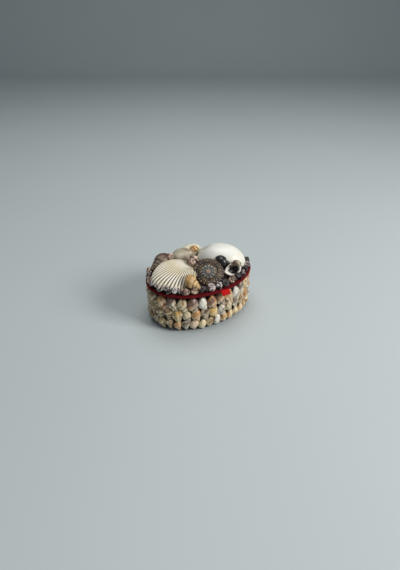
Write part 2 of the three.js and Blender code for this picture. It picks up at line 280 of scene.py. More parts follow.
def roughSurface(tree, shader, height, distance, strength=1.0):
    node = addNode(tree, "ShaderNodeBump", {"Height": height, "Distance": distance, "Strength": strength})
    tree.links.new(node.outputs["Normal"], shader.inputs["Normal"])


# Camera, table and light
view = {
    "location": (-0.1436, -0.2496, 0.2201),
    "turn": (math.radians(55.5), 0, math.radians(-30)),
    "lens": 25.263,  # 400 pixels of focal length in a picture 570 high
}

bpy.ops.object.camera_add(location=view["location"], rotation=view["turn"])
camera = bpy.context.object
camera.name = "photoCamera"
camera.data.lens = view["lens"]
camera.data.sensor_width = 36
camera.data.clip_start = 0.01
camera.data.clip_end = 20
bpy.context.scene.camera = camera
bpy.context.scene.view_settings.view_transform = "Standard"

table = {"halfWidth": 2.2, "front": -1.2, "back": 2.0, "rise": 2.2, "bend": 0.5}

deselectAll()
bpy.ops.mesh.primitive_plane_add(size=1)
floor = bpy.context.object
floor.name = "table"
for v in floor.data.vertices:
    # the plane is turned so that its far edge lies square to the camera's line of sight
    x = table["halfWidth"] if v.co.x > 0 else -table["halfWidth"]
    y = table["back"] if v.co.y > 0 else table["front"]
    v.co = Matrix.Rotation(math.radians(-30), 3, "Z") @ Vector((x, y, 0))
makeActive(floor)
bpy.ops.object.mode_set(mode="EDIT")
bpy.ops.mesh.select_mode(type="EDGE")
bpy.ops.mesh.select_all(action="DESELECT")
bpy.ops.object.mode_set(mode="OBJECT")
away = Matrix.Rotation(math.radians(-30), 3, "Z") @ Vector((0, 1, 0))
for e in floor.data.edges:
    e.select = all(floor.data.vertices[i].co.dot(away) > 1 for i in e.vertices)
bpy.ops.object.mode_set(mode="EDIT")
bpy.ops.mesh.extrude_edges_move(TRANSFORM_OT_translate={"value": (0, 0, table["rise"])})
bpy.ops.object.mode_set(mode="OBJECT")
applyModifier(floor, "bend", "BEVEL", width=table["bend"], segments=12, limit_method="ANGLE")
bpy.ops.object.shade_smooth()


def paleTableFinish():
    material, tree, shader = newMaterial("paleTable", Roughness=0.62)
    blotches = noise(tree, place(tree), 5, 2)
    grain = noise(tree, place(tree), 700, 2)
    colour = mixed(tree, blotches, paint(184, 194, 196), paint(190, 199, 201))
    tree.links.new(mixed(tree, times(tree, grain, 0.06), colour, paint(160, 170, 174)),
                   shader.inputs["Base Color"])
    return material


floor.data.materials.append(paleTableFinish())

lights = {
    "overhead": {"at": (0.1, 0.22, 1.1), "size": 0.8, "power": 5.9, "colour": (1.0, 0.985, 0.96)},
    "window": {"at": (0.55, -0.75, 0.64), "size": 0.42, "power": 9.4, "colour": (1.0, 0.98, 0.95)},
}

for name, look in lights.items():
    towards = Vector((0, 0, 0.02)) - Vector(look["at"])
    bpy.ops.object.light_add(type="AREA", location=look["at"],
                             rotation=towards.to_track_quat("-Z", "Y").to_euler())
    lamp = bpy.context.object
    lamp.name = name
    lamp.data.shape = "SQUARE"
    lamp.data.size = look["size"]
    lamp.data.energy = look["power"]
    lamp.data.color = look["colour"]

world = bpy.data.worlds.new("softRoom")
world.use_nodes = True
world.node_tree.nodes["Background"].inputs["Color"].default_value = (0.86, 0.93, 1.0, 1)
world.node_tree.nodes["Background"].inputs["Strength"].default_value = 0.175
bpy.context.scene.world = world
print("camera, table and light", bpy.context.scene.view_settings.view_transform, flush=True)


# Growing the coiled shells
def growSnail(name, look):
    # The tube is extruded ring by ring from its throat to the lip and then back round the
    # outside, each ring turned about the axis and shrunk towards the apex at the origin.
    steps, sides = look["stepsPerTurn"], look["sides"]
    count = int(look["turns"] * steps)
    turn = -math.tau / steps  # with no window, rotate turns the other way
    shrink = look["growthPerTurn"] ** (-1 / steps)
    centre = Vector((look["reach"], 0, -look["drop"]))
    deselectAll()
    bpy.ops.mesh.primitive_circle_add(vertices=sides, radius=1, fill_type="NGON")
    obj = bpy.context.object
    obj.name = name
    around = []
    for v in obj.data.vertices:
        # the mouth's outline stands upright beside the axis, and narrows towards the base
        angle = math.atan2(v.co.y, v.co.x) + math.pi / sides
        across, up = math.cos(angle), math.sin(angle)
        around.append(math.atan2(up, across) / math.pi)
        squeeze = 1 - look["canal"] * max(-up, 0) ** 2
        v.co = centre + Vector((across * look["mouthWidth"] * squeeze, 0, up * look["mouthHeight"]))
    throat = [(0.4, 7), (0.66, 3.5), (0.82, 0.8), (0.93, -0.4)]  # size and steps back inside the mouth
    innerGrowth = (-0.8, -0.5, -0.1, 0, 0, 0)  # the finish knows the throat and the lip by these
    lip = [(1 + look["lip"], -0.6), (1.0 + look["lip"] * 0.8, 0.4)]
    outer = [v.co.copy() for v in obj.data.vertices]
    editAll()
    for _ in range(len(throat) - 1 + len(lip)):
        bpy.ops.mesh.extrude_edges_move()
    for _ in range(count):
        bpy.ops.mesh.extrude_edges_move()
        bpy.ops.transform.rotate(value=turn, orient_axis="Z", center_override=(0, 0, 0))
        bpy.ops.transform.resize(value=(shrink, shrink, shrink), center_override=(0, 0, 0))
    closeEnd()
    mesh = obj.data
    inner = throat + lip
    growth, relief, seams = [], [], []
    for v in mesh.vertices:
        ring, side = divmod(v.index, sides)
        if v.index == len(mesh.vertices) - 1:
            v.co = (0, 0, -0.3 * look["growthPerTurn"] ** -look["turns"])  # the tip
            growth.append(look["turns"])
            relief.append(0.6)
            seams.append(0.3)
            around.append(0)
            continue
        if side != v.index:
            around.append(around[side])
        if ring < len(inner):
            # the throat and the lip: the same outline, smaller, a little way back along the coil
            size, back = inner[ring]
            step = shrink ** back
            point = centre + (outer[side] - centre) * size
            v.co = Matrix.Rotation(math.tau / steps * back, 3, "Z") @ (point * step)
            growth.append(innerGrowth[ring])
            relief.append(0.6)
            seams.append(0)
            continue
        turns = (ring - len(inner) + 1) / steps
        growth.append(turns)
        middle = Matrix.Rotation(math.tau * turns, 3, "Z") @ (centre * look["growthPerTurn"] ** -turns)
        angle = around[side]
        upper = math.exp(-(((angle - 0.3) / 0.2) ** 2))  # the shoulder, just under the seam above it
        swell = look["shoulder"] * upper
        knob = 0.6
        if look["ribs"]:
            knob = bump(turns * look["ribs"] + 0.15 * math.sin(7 * turns), look["ribSharpness"])
            ribShare = look["ribSpread"] + (1 - look["ribSpread"]) * upper
            swell += look["ribDepth"] * (knob - 0.4) * ribShare * min(1, turns * 6)
        if look["cords"]:
            swell += look["cordDepth"] * (bump(angle * look["cords"] / 2) - 0.5)
        relief.append(knob)
        # how near this place is to the whorl above it or, past the first turn, the one below
        seam = 0.0
        for scale in (look["growthPerTurn"], 1 / look["growthPerTurn"] if turns > 1 else None):
            if scale:
                across = (outer[side].x * scale - centre.x) / look["mouthWidth"]
                up = (outer[side].z * scale - centre.z) / look["mouthHeight"]
                seam = max(seam, math.exp(-(((math.hypot(across, up) - 1) / 0.14) ** 2)))
        seams.append(seam)
        v.co = middle + (v.co - middle) * (1 + swell)
    # unit size in each direction, with the middle at the origin
    low = [min(v.co[i] for v in mesh.vertices) for i in range(3)]
    high = [max(v.co[i] for v in mesh.vertices) for i in range(3)]
    mesh.transform(Matrix.Translation([-(a + b) / 2 for a, b in zip(low, high)]))
    mesh.transform(sizeMatrix(*[1 / (b - a) for a, b in zip(low, high)]))
    setPointValues(mesh, "growth", growth)
    setPointValues(mesh, "around", around[: len(mesh.vertices)])
    setPointValues(mesh, "relief", relief)
    setPointValues(mesh, "seam", seams)
    smoothAndClose(obj)
    return obj


def mouthTowards(degrees):
    # turns a grown shell about its axis: at 0 its mouth opens away from +Y, the side that shows
    return Matrix.Rotation(math.radians(degrees), 4, "Z")


def shellMatrix(at, apex, face, size, spin):
    # from a grown shell of unit size, in millimetres, to its place in the scene
    return sizeMatrix(mm, mm, mm) @ frameOf(at, apex, face) @ sizeMatrix(*size) @ mouthTowards(spin)


snail = {
    "turns": 4.0, "stepsPerTurn": 24, "sides": 13, "growthPerTurn": 1.65, "reach": 0.15, "drop": 0.7,
    "mouthWidth": 0.18, "mouthHeight": 0.3, "canal": 0.35, "lip": 0.05, "shoulder": 0.04,
    "ribs": 0, "ribDepth": 0.0, "ribSharpness": 1.0, "ribSpread": 0.5, "cords": 0, "cordDepth": 0.0,
}

bodyModels = [
    growSnail("smoothWhelk", {**snail, "growthPerTurn": 1.6, "drop": 0.74, "reach": 0.17, "mouthWidth": 0.2,
                              "mouthHeight": 0.27, "shoulder": 0.12, "cords": 6, "cordDepth": 0.02}),
    growSnail("ribbedWhelk", {**snail, "growthPerTurn": 1.5, "turns": 4.4, "stepsPerTurn": 32, "drop": 0.77,
                              "reach": 0.16, "mouthWidth": 0.175, "mouthHeight": 0.225, "ribs": 8,
                              "ribDepth": 0.26,
                              "shoulder": 0.2}),
    growSnail("knobbedWhelk", {**snail, "growthPerTurn": 1.48, "turns": 4.6, "stepsPerTurn": 32,
                               "drop": 0.78,
                               "reach": 0.16, "mouthWidth": 0.165, "mouthHeight": 0.215, "ribs": 7,
                               "ribDepth": 0.5,
                               "ribSharpness": 1.5, "ribSpread": 0.15, "shoulder": 0.26}),
    growSnail("slenderWhelk", {**snail, "growthPerTurn": 1.4, "turns": 5.2, "stepsPerTurn": 28,
                               "reach": 0.15,
                               "mouthWidth": 0.15, "mouthHeight": 0.18, "drop": 0.82, "ribs": 7,
                               "ribDepth": 0.22,
                               "shoulder": 0.12, "cords": 8, "cordDepth": 0.03}),
    growSnail("roundSnail", {**snail, "growthPerTurn": 1.9, "turns": 2.9, "stepsPerTurn": 28, "reach": 0.2,
                             "drop": 0.64, "mouthWidth": 0.23, "mouthHeight": 0.28, "canal": 0.1,
                             "shoulder": 0.1,
                             "cords": 6, "cordDepth": 0.03}),
    growSnail("stoutWhelk", {**snail, "growthPerTurn": 1.6, "turns": 3.6, "stepsPerTurn": 32, "reach": 0.18,
                             "mouthWidth": 0.2, "mouthHeight": 0.26, "drop": 0.73, "ribs": 8,
                             "ribDepth": 0.2,
                             "shoulder": 0.2}),
]
print("body shells grown", flush=True)

# Tones of the wall shells: a main colour and a second one
tones = {
    "cream": (paint(236, 220, 178), paint(158, 124, 80)),
    "white": (paint(242, 238, 226), paint(138, 124, 108)),
    "honey": (paint(226, 186, 104), paint(242, 228, 184)),
    "mauve": (paint(116, 90, 80), paint(234, 214, 174)),
    "mauveTan": (paint(134, 104, 94), paint(204, 140, 74)),
    "tan": (paint(196, 142, 80), paint(230, 204, 154)),
    "peach": (paint(216, 160, 102), paint(232, 208, 166)),
    "brown": (paint(98, 70, 56), paint(188, 144, 102)),
    "orange": (paint(184, 104, 46), paint(222, 176, 118)),
    "grey": (paint(128, 116, 102), paint(238, 230, 208)),
    "pink": (paint(200, 148, 126), paint(230, 206, 176)),
    "spotted": (paint(226, 210, 178), paint(84, 60, 46)),
    "olive": (paint(128, 104, 62), paint(196, 172, 120)),
}

bodyRows = {
    "topRow": {
        "node": "body_shells_top_row", "count": 30, "phase": 0.75, "middle": 27.4, "length": 13.8,
        "depth": 8.2,
        "slant": 24, "salt": 34.1, "stretch": 1.34, "shift": -1.5, "lean": 0.2,
        "tones": "peach tan cream mauve white tan grey cream spotted mauve tan cream brown tan olive "
                 "olive orange mauve cream mauveTan white mauveTan brown peach white grey tan pink cream tan",
        "shapes": "0 1 5 3 1 0 5 1 3 0 2 5 1 2 3 3 2 2 0 5 0 5 1 2 4 1 3 2 1 5",
    },
    "middleRow": {
        "node": "body_shells_middle_row", "count": 32, "phase": 0.4, "middle": 17, "length": 12.4,
        "depth": 8,
        "slant": 20, "salt": 22.6, "stretch": 1.26, "shift": -1.3, "lean": 0.16,
        "tones": "cream tan grey mauve cream honey white mauve tan cream grey spotted cream tan olive cream "
                 "olive olive cream honey mauve tan spotted honey white mauve grey cream tan "
                 "white peach cream",
        "shapes": "1 2 0 3 5 2 1 0 3 5 1 2 3 1 2 3 3 2 3 2 5 0 2 0 5 1 2 1 5 1 2 3",
    },
    "bottomRow": {
        "node": "body_shells_bottom_row", "count": 36, "phase": 0.8, "middle": 6, "length": 11.6,
        "depth": 7.8,
        "slant": 12, "salt": 12.1, "stretch": 1.08, "shift": 0.3, "lean": 0.08,
        "tones": "tan peach cream grey tan cream white mauve cream peach grey cream tan cream olive tan "
                 "cream olive spotted olive cream orange grey pink cream cream white tan peach cream peach "
                 "tan cream grey tan peach",
        "shapes": "4 1 4 4 2 1 4 5 4 4 1 4 5 1 4 4 1 4 3 1 3 5 1 4 4 4 4 5 4 4 4 5 4 1 4 5",
    },
}


# hollow and seam colours are painted shade; the shoulder band colour is partly a painted highlight
plainCoil = {
    "coat": 0.12, "gloss": 0.34, "grooves": 0.00035,
    "patchAlong": 2.2, "patchAround": 1.6, "patchScale": 1.3, "patchLow": 0.47, "patchHigh": 0.54,
    "lines": 0.45, "lineColour": paint(120, 90, 62), "cordShare": 0.25, "cordColour": paint(232, 218, 186),
    "hollowShadeAmount": 0.45, "hollowShadeColour": paint(112, 84, 58), "seams": 0.85, "seamShadeColour": paint(58, 38, 26),
    "bandAt": 0.2, "band": 0.45, "bandColour": paint(240, 230, 204),
}


def coiledFinish(name, changes):
    # main and second colours in patches, thin growth lines across the coil and cords along it
    look = {**plainCoil, **changes}
    material, tree, shader = newMaterial(name, Coat_Weight=look["coat"], Coat_Roughness=0.25)
    growth, around = readPoint(tree, "growth"), readPoint(tree, "around")
    relief, own = readPoint(tree, "relief"), readPoint(tree, "own")

    def streaks(along, across):
        return threeWay(tree, times(tree, growth, along), times(tree, around, across), own)

    if "main" in look:
        main, second = look["main"], look["second"]
    else:
        main, second = readPoint(tree, "mainTone", "Color"), readPoint(tree, "secondTone", "Color")
    patches = noise(tree, streaks(look["patchAlong"], look["patchAround"]), look["patchScale"], 4, 0.55)
    colour = mixed(tree, spread(tree, patches, look["patchLow"], look["patchHigh"]), main, second)
    lines = noise(tree, streaks(34, 1.2), 1, 3, 0.6)
    cords = noise(tree, streaks(0.8, 15), 1, 3, 0.6)
    colour = tint(tree, colour, look["lineColour"], spread(tree, lines, 0.5, 0.72), look["lines"])
    colour = tint(tree, colour, look["cordColour"], spread(tree, cords, 0.52, 0.72), look["cordShare"])
    # painted shade: the low places between ribs darkened
    colour = tint(tree, colour, look["hollowShadeColour"], spread(tree, relief, 0.45, 0.0), look["hollowShadeAmount"])
    # a paler band along the shoulder, broken here and there: partly the shells' own pale banding and partly a
    # painted highlight where the shoulder faces up to the light; then painted shade in the seams
    band = spread(tree, distanceFrom(tree, around, look["bandAt"]), 0.16, 0.05)
    band = times(tree, band, spread(tree, lines, 0.3, 0.55, 0.2, 1.0))
    colour = tint(tree, colour, look["bandColour"], band, look["band"])
    # painted shade: darker where one whorl meets the next
    seam = spread(tree, readPoint(tree, "seam"), 0.2, 0.8)
    colour = tint(tree, colour, look["seamShadeColour"], seam, look["seams"])
    if "glueAndShade" in look:
        # painted shade with some glue stain: dark where the shells meet the box, inside an oval of these half
        # sizes, so the gaps between them read as shaded
        wallShade = spread(tree, ovalReach(tree, place(tree), look["glueAndShade"]), 1.1, 1.0, 0, 0.92)
        colour = mixed(tree, wallShade, colour, paint(34, 22, 14))
    if "lipColour" in look:
        colour = mixed(tree, spread(tree, growth, 0.045, 0.015), colour, look["lipColour"])
    # the colour inside the throat: pale inner shell for most snails, and for the open-mouthed snail
    # near-black painted shade in its dark hole
    if "throat" in look:
        colour = mixed(tree, spread(tree, growth, -0.12, -0.5), colour, look["throat"])
    dust = noise(tree, place(tree), 1100, 3)
    colour = tint(tree, colour, paint(90, 66, 48), spread(tree, dust, 0.55, 0.75), 0.22)
    tree.links.new(colour, shader.inputs["Base Color"])
    rough = spread(tree, dust, 0.3, 0.7, look["gloss"], look["gloss"] + 0.22)
    tree.links.new(rough, shader.inputs["Roughness"])
    height = plus(tree, times(tree, lines, 0.6), times(tree, cords, 0.7))
    roughSurface(tree, shader, plus(tree, height, times(tree, dust, 0.25)), look["grooves"], 0.7)
    return material


# painted shade in the low places between ribs, in the seams and, inside the given oval, in the gaps by the
# box wall
bodyFinish = coiledFinish("wallShells", {
    "lines": 0.6, "lineColour": paint(84, 56, 36), "hollowShadeAmount": 0.7, "band": 0.5, "seams": 0.95,
    "seamShadeColour": paint(34, 20, 12), "gloss": 0.28, "coat": 0.25, "glueAndShade": (0.0442, 0.0307)})
oval = {"length": 88.4, "width": 61.4, "overlap": 1.24, "slantJitter": 16, "sizeJitter": 0.16}


def makeBodyRow(name, row):
    places, pitch = ovalPlaces(oval["length"], oval["width"], row["count"], row["phase"])
    toneNames, shapes = row["tones"].split(), row["shapes"].split()
    shells = []
    for index, point, tangent, normal in places:
        leftEnd = max(0.0, -point.x / oval["length"] * 2) ** 4  # the shells lie less tidily round there
        slant = math.radians(row["slant"] + (1 + 2 * leftEnd) * oval["slantJitter"] * jitter(index,
                                                                                             row["slant"]))
        size = 1 + oval["sizeJitter"] * jitter(index, row["salt"])
        apex = tangent * math.sin(slant) - Vector((0, 0, 1)) * math.cos(slant) + normal * row["lean"]
        at = point + Vector((0, 0, row["middle"] + row["shift"]))
        sizes = (pitch * oval["overlap"] * size, row["depth"] * size, row["length"] * row["stretch"] * size)
        matrix = shellMatrix(at, apex, normal, sizes, 70 * jitter(index, 3.1))
        shell = copyPlaced(bodyModels[int(shapes[index])], matrix, "shell")
        lowest = min(v.co.z for v in shell.data.vertices)
        if lowest < 0.2 * mm:
            shell.data.transform(Matrix.Translation((0, 0, 0.2 * mm - lowest)))  # it stands on the table
        setTones(shell.data, tones[toneNames[index]], index * 3.7 + row["middle"])
        shells.append(shell)
    piece = joinAll(shells, name)
    piece.data.materials.clear()
    piece.data.materials.append(bodyFinish)
    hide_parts(row["node"])
    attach(piece, "root")


for name, row in bodyRows.items():
    makeBodyRow(name, row)
removeModels(bodyModels)
print("body rows laid", flush=True)

# The lid's ring of small dark shells
rim = {"length": 95 - 6.4, "width": 68.4 - 6.4, "count": 34, "phase": 0.5, "high": 34.5 + 3.2 + 2.6,
       "shellLength": 7.4, "shellWidth": 7.3, "tones": {
           "dark": (paint(12, 10, 12), paint(58, 48, 50)),
           "mauve": (paint(30, 21, 23), paint(196, 178, 176)),
           "pale": (paint(40, 28, 30), paint(240, 230, 224)),
           "rust": (paint(74, 38, 26), paint(208, 180, 154))},
       # made smaller and sunk into the lid board, to stay hidden from the photograph's angle:
       # first index, last index, size, sunk by. `inward` is how far they also move in, for each mm sunk.
       "crowded": [(0, 4, 0.58, 3.2), (33, 33, 0.6, 2.8), (11, 13, 0.75, 0.8), (5, 10, 0.76, 1.8),
                   (30, 32, 0.88, 0.3)],
       "inward": 0.7,
       "order": "mauve dark pale mauve mauve dark pale mauve rust mauve dark pale mauve dark rust mauve rust "
                "mauve mauve mauve pale rust rust dark mauve pale dark rust dark mauve dark mauve dark dark"}

rimModels = [
    growSnail("turban", {**snail, "growthPerTurn": 2.0, "reach": 0.2, "drop": 0.55, "mouthWidth": 0.25,
                         "mouthHeight": 0.28, "turns": 2.8, "stepsPerTurn": 26, "sides": 12, "canal": 0.1,
                         "shoulder": 0.03, "cords": 6, "cordDepth": 0.03}),
    growSnail("knobbedTurban", {**snail, "growthPerTurn": 2.0, "reach": 0.2, "drop": 0.6, "mouthWidth": 0.24,
                                "mouthHeight": 0.3, "turns": 2.8, "stepsPerTurn": 26, "sides": 12,
                                "canal": 0.1,
                                "ribs": 7, "ribDepth": 0.18, "ribSharpness": 1.4, "shoulder": 0.06}),
]


def makeRimRing():
    places, _ = ovalPlaces(rim["length"], rim["width"], rim["count"], rim["phase"])
    names = rim["order"].split()
    shells = []
    for index, point, tangent, normal in places:
        apex = normal * 0.5 + Vector((0, 0, 0.75)) + tangent * (0.6 * jitter(index, 5))
        size = 1 + 0.16 * jitter(index, 6)
        sunk = 0.0
        for first, last, smaller, lower in rim["crowded"]:
            if first <= index <= last:
                size, sunk = size * smaller, lower
        at = point - normal * sunk * rim["inward"] + Vector((0, 0, rim["high"] - sunk))
        sizes = (rim["shellWidth"] * size, rim["shellWidth"] * size * 0.9, rim["shellLength"] * size)
        matrix = shellMatrix(at, apex, normal, sizes, 360 * jitter(index, 8))
        shell = copyPlaced(rimModels[index % 2], matrix, "shell")
        setTones(shell.data, rim["tones"][names[index]], index * 5.3)
        shells.append(shell)
    piece = joinAll(shells, "rimRing")
    piece.data.materials.clear()
    piece.data.materials.append(coiledFinish("rimShells", {
        "patchScale": 2.0, "patchLow": 0.49, "patchHigh": 0.52, "lines": 0.5,
        "lineColour": paint(16, 12, 14),
        "cordShare": 0.08, "cordColour": paint(210, 196, 192), "hollowShadeColour": paint(20, 15, 17),
        "gloss": 0.26,
        "coat": 0.2, "band": 0.0, "seamShadeColour": paint(10, 8, 9)}))
    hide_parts("lid_rim_shells")
    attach(piece, "root")


makeRimRing()
removeModels(rimModels)
print("rim ring laid", flush=True)

# The lid's coiled shells
lidFloor = Vector((0, 0, 34.5))


def placeLidShell(obj, name, node, at, apex, face, size, spin):
    obj.data.transform(shellMatrix(Vector(at) + lidFloor, apex, face, size, spin))
    nameBoth(obj, name)
    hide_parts(node)
    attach(obj, "root")
    return obj


fineSnail = {**snail, "stepsPerTurn": 56, "sides": 26}
lidSnails = {
    "yellowWhelk": {
        "node": "yellow_whelk", "at": (-19.6, -23.4, 10.6), "apex": (0.42, -0.86, -0.26),
        "face": (-0.3, -0.3, 1), "size": (10.6, 9.8, 17), "spin": 15,
        "look": {**fineSnail, "turns": 4.6, "growthPerTurn": 1.5, "shoulder": 0.2, "canal": 0.6,
                 "drop": 0.76, "reach": 0.16, "mouthHeight": 0.26, "mouthWidth": 0.18, "ribs": 7,
                 "ribDepth": 0.07},
        "finish": {"main": paint(172, 126, 68), "second": paint(212, 172, 108),
                   "lineColour": paint(116, 74, 34), "cordColour": paint(236, 214, 164), "hollowShadeAmount": 0.3,
                   "seamShadeColour": paint(74, 42, 18), "bandColour": paint(240, 218, 168),
                   "throat": paint(232, 214, 170)},
    },
    "patternedSnailMiddle": {
        "node": "patterned_snail_middle", "at": (-6, 0.4, 13.6), "apex": (-0.62, -0.62, 0.48),
        "face": (0, 0, 1), "size": (11, 11, 12.5), "spin": 20,
        "look": {**fineSnail, "growthPerTurn": 1.8, "reach": 0.19, "drop": 0.66, "mouthWidth": 0.22,
                 "mouthHeight": 0.28, "canal": 0.15, "shoulder": 0.1, "ribs": 9, "ribDepth": 0.06},
        "finish": {"main": paint(206, 176, 160), "second": paint(74, 50, 42), "patchAlong": 11,
                   "patchAround": 0.7, "patchScale": 1.2, "lines": 0.2, "cordShare": 0.1, "band": 0.3,
                   "seamShadeColour": paint(50, 34, 30), "throat": paint(220, 200, 180)},
    },
    "blackSnail": {
        "node": "black_snail", "at": (16.4, -10, 11.8), "apex": (0.82, -0.56, -0.12),
        "face": (-0.3, -0.3, 1), "size": (12.4, 11, 16), "spin": 0,
        "look": {**fineSnail, "growthPerTurn": 1.9, "reach": 0.19, "drop": 0.66, "mouthWidth": 0.23,
                 "mouthHeight": 0.3, "canal": 0.1, "shoulder": 0.1, "cords": 5, "cordDepth": 0.02},
        "finish": {"main": paint(18, 18, 20), "second": paint(30, 31, 34), "lines": 0.2,
                   "lineColour": paint(10, 10, 11), "cordShare": 0.05, "cordColour": paint(120, 124, 132),
                   "hollowShadeAmount": 0, "gloss": 0.2, "coat": 0.3, "grooves": 0.00012, "band": 0.1,
                   "bandColour": paint(70, 60, 50), "seamShadeColour": paint(8, 8, 8),
                   "throat": paint(60, 58, 60)},
    },
    "openMouthedSnail": {
        "node": "open_mouthed_snail", "at": (20.2, -20.8, 9.2), "apex": (0.86, -0.38, 0.3),
        "face": (-0.4, -0.56, 0.84), "size": (13, 12, 16), "spin": 180,
        "look": {**fineSnail, "turns": 2.6, "growthPerTurn": 3.2, "reach": 0.26, "drop": 0.58,
                 "mouthWidth": 0.42, "mouthHeight": 0.42, "canal": 0.6, "lip": 0.12, "ribs": 8,
                 "ribDepth": 0.03},
        # its near-black throat colour is painted shade inside the open mouth
        "finish": {"main": paint(110, 88, 70), "second": paint(156, 138, 120), "throat": paint(22, 13, 8),
                   "lipColour": paint(240, 234, 222), "lines": 0.4, "cordShare": 0.4,
                   "cordColour": paint(190, 178, 162)},
    },
    "tanSnail": {
        "node": "tan_snail", "at": (4.4, 18, 13.2), "apex": (-0.8, -0.2, 0.3), "face": (0, 0, 1),
        "size": (7.2, 7.2, 10.5), "spin": 20,
        "look": {**fineSnail, "growthPerTurn": 1.7, "reach": 0.18, "drop": 0.7, "mouthHeight": 0.28,
                 "shoulder": 0.1},
        "finish": {"main": paint(190, 134, 66), "second": paint(116, 78, 40),
                   "lineColour": paint(110, 70, 32), "seamShadeColour": paint(84, 52, 26),
                   "bandColour": paint(232, 204, 150), "throat": paint(226, 206, 170)},
    },
    "patternedSnailLeft": {
        "node": "patterned_snail_left", "at": (-17.6, 19, 10.4), "apex": (-0.4, -0.7, 0.5),
        "face": (0, 0, 1), "size": (9.4, 9.4, 11), "spin": 20,
        "look": {**fineSnail, "growthPerTurn": 1.7, "reach": 0.18, "drop": 0.7, "mouthHeight": 0.27,
                 "canal": 0.1, "shoulder": 0.12, "ribs": 8, "ribDepth": 0.1},
        "finish": {"main": paint(200, 168, 156), "second": paint(66, 44, 38), "patchAlong": 10,
                   "patchAround": 0.7, "cordShare": 0.1, "band": 0.3, "seamShadeColour": paint(50, 34, 30),
                   "throat": paint(220, 200, 180)},
    },
    "brownSpire": {
        "node": "brown_spire", "at": (-28.2, 19.6, 8.2), "apex": (-0.9, -0.42, -0.16), "face": (0, 0, 1),
        "size": (13, 12, 24.5), "spin": 20,
        "look": {**fineSnail, "turns": 6, "growthPerTurn": 1.34, "reach": 0.15, "drop": 0.8,
                 "mouthWidth": 0.16, "mouthHeight": 0.27, "canal": 0.1, "shoulder": -0.04, "cords": 6,
                 "cordDepth": 0.02, "stepsPerTurn": 40, "sides": 20},
        "finish": {"main": paint(96, 70, 50), "second": paint(70, 50, 36), "lines": 0.6,
                   "lineColour": paint(36, 24, 18), "cordShare": 0.25, "cordColour": paint(160, 132, 102),
                   "band": 0.15, "seamShadeColour": paint(40, 28, 20), "throat": paint(150, 126, 100)},
    },
}

lidPieces = {}
for name, shell in lidSnails.items():
    obj = growSnail(name, shell["look"])
    obj.data.materials.append(coiledFinish(name, shell["finish"]))
    setPointValues(obj.data, "own", [len(lidPieces) * 7.3] * len(obj.data.vertices))
    lidPieces[name] = placeLidShell(
        obj, name, shell["node"], shell["at"], shell["apex"], shell["face"], shell["size"], shell["spin"]
    )
print("lid snails laid", flush=True)


# The lid's two-sided shells: a margin ring grown back to the beak
def growValve(name, look):
    sides, rows = look["marginPoints"], look["rows"]
    length, width, rise = look["length"], look["width"], look["rise"]
    beak = Vector((length * (0.5 - look["beak"]), look.get("beakSide", 0), 0))
    deselectAll()
    bpy.ops.mesh.primitive_circle_add(vertices=sides, radius=1, fill_type="NOTHING")
    obj = bpy.context.object
    obj.name = name
    for v in obj.data.vertices:
        angle = math.tau * v.index / sides
        v.co = (length / 2 * math.cos(angle), width / 2 * math.sin(angle) * (1 - 0.1 * math.cos(angle)), 0)
        straight = width / 2 * (v.co.x + length / 2) / (0.58 * length)  # one side may be nearly straight
        if v.co.y > straight:
            v.co.y += (straight - v.co.y) * look.get("flatSide", 0)
    editAll()
    left = 1.0
    for row in range(1, rows):
        share = 1 - (row / rows) ** 1.25
        bpy.ops.mesh.extrude_edges_move()
        step = share / left
        bpy.ops.transform.resize(value=(step, step, step), center_override=beak)
        left = share
    closeEnd()
    mesh = obj.data
    # distance along the margin, so that the ribs are evenly wide there
    reached = [0.0]
    for i in range(sides):
        reached.append(reached[-1] + (mesh.vertices[(i + 1) % sides].co - mesh.vertices[i].co).length)
    growth, rib, relief = [], [], []
    for v in mesh.vertices:
        last = v.index == len(mesh.vertices) - 1
        row, side = (rows, 0) if last else divmod(v.index, sides)
        share = max(0.0, 1 - (row / rows) ** 1.25)
        along = reached[side] / reached[-1]
        reach = min(1.0, math.hypot(v.co.x / (length / 2), v.co.y / (width / 2)))
        if "flatSide" in look:
            margin = mesh.vertices[side].co
            reach = max(reach, share ** 2 * math.hypot(margin.x / (length / 2), margin.y / (width / 2)),
                        share ** 4)
        height = rise * max(0.0, 1 - reach ** 2.4) ** 0.6
        nearBeak = math.exp(-(((v.co - beak).length / (0.22 * length)) ** 2))
        height *= 1 - look.get("beakSink", 0) * nearBeak
        crest = 0.6
        if "ribs" in look:
            fade = min(1.0, 9 * min(along, 1 - along)) * min(1, share * 2.5)
            crest = 1 - bump(along * look["ribs"], look["grooveSharpness"])  # broad ribs, narrow grooves
            height += look["ribDepth"] * (crest - 0.5) * fade * (0.35 + 0.65 * share)
            if share > 0.6:
                out = Vector((v.co.x - beak.x, v.co.y - beak.y, 0)).normalized()
                v.co += out * (look["ribDepth"] * 0.9 * (crest - 0.5) * (share - 0.6) / 0.4 * fade)
            crest = 0.6 + (crest - 0.6) * fade
        if "ridges" in look:
            height += look["ridgeDepth"] * (bump(share * look["ridges"]) - 0.5) * min(1,
                                                                                      6 * (1 - share) + 0.2)
        growth.append(share)
        rib.append(along)
        relief.append(crest)
        v.co.z = max(0.02 * rise, height) if share < 1 else 0.0
    setPointValues(mesh, "growth", growth)
    setPointValues(mesh, "rib", rib)
    setPointValues(mesh, "relief", relief)
    smoothAndClose(obj)
    applyModifier(obj, "wall", "SOLIDIFY", thickness=look["wall"], offset=-1, use_rim=True)
    return obj


